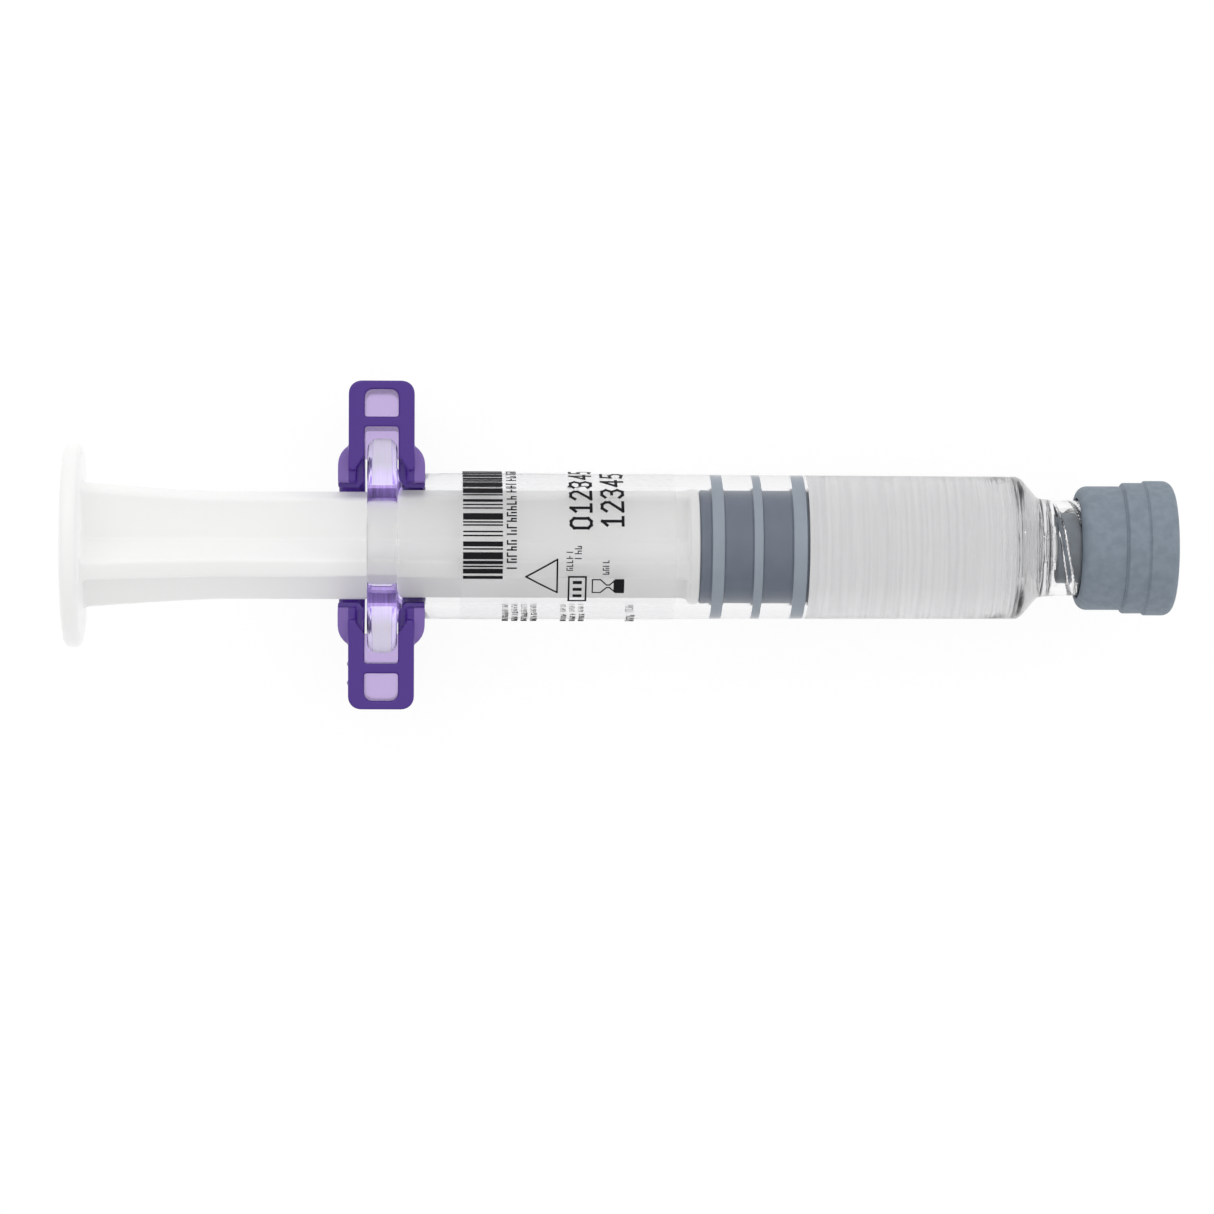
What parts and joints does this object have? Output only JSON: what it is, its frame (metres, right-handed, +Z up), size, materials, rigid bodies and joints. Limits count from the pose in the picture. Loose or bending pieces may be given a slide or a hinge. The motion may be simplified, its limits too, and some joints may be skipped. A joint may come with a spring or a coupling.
{
  "type": "prefilled luer-lock syringe",
  "caption": "Prefilled clear plastic syringe lying on its side: ribbed plunger rod, rubber stopper, clip-on finger grip, luer-lock tip under a pull-off rubber cap.",
  "frame": {"origin": "centre of the bounding box, at its lowest plane, which touches the thumb disc's rim", "axes": "+X along the barrel's axis from the thumb disc to the tip cap, +Y along the finger grip's wings, +Z up, the way the grip's slot opens"},
  "size_m": [0.1112, 0.0326, 0.0205],
  "materials": {
    "clear_plastic": "clear, polished, slightly grey at the edges",
    "violet_plastic": "translucent violet, satin, pale where the wall is thin",
    "white_plastic": "natural white, satin",
    "stopper_rubber": "grey, smooth, matte with a silicone sheen",
    "cap_rubber": "blue grey, matte, finely mottled",
    "label_film": "clear glossy film",
    "label_ink": "black print",
    "gel": "clear viscous filling, faintly grey"
  },
  "bodies": {
    "barrel": {"barrel": "clear_plastic", "finger_grip": "violet_plastic", "label": "label_film", "gel_column": "gel", "gel_tip": "gel"},
    "stopper": {"stopper": "stopper_rubber"},
    "plunger_rod": {"plunger_rod": "white_plastic"},
    "tip_cap": {"tip_cap": "cap_rubber"}
  },
  "joints": [
    {"name": "plunger_slide", "type": "slide", "parent": "barrel", "child": "stopper", "axis": [1, 0, 0], "range_m": [0, 0.0198], "deforming": ["gel_column"]},
    {"name": "rod_turn", "type": "hinge", "parent": "stopper", "child": "plunger_rod", "pos_m": [0.0077, 0, 0.01025], "axis": [1, 0, 0], "continuous": true},
    {"name": "cap_pull", "type": "slide", "parent": "barrel", "child": "tip_cap", "axis": [1, 0, 0], "range_m": [0, 0.016]}
  ]
}
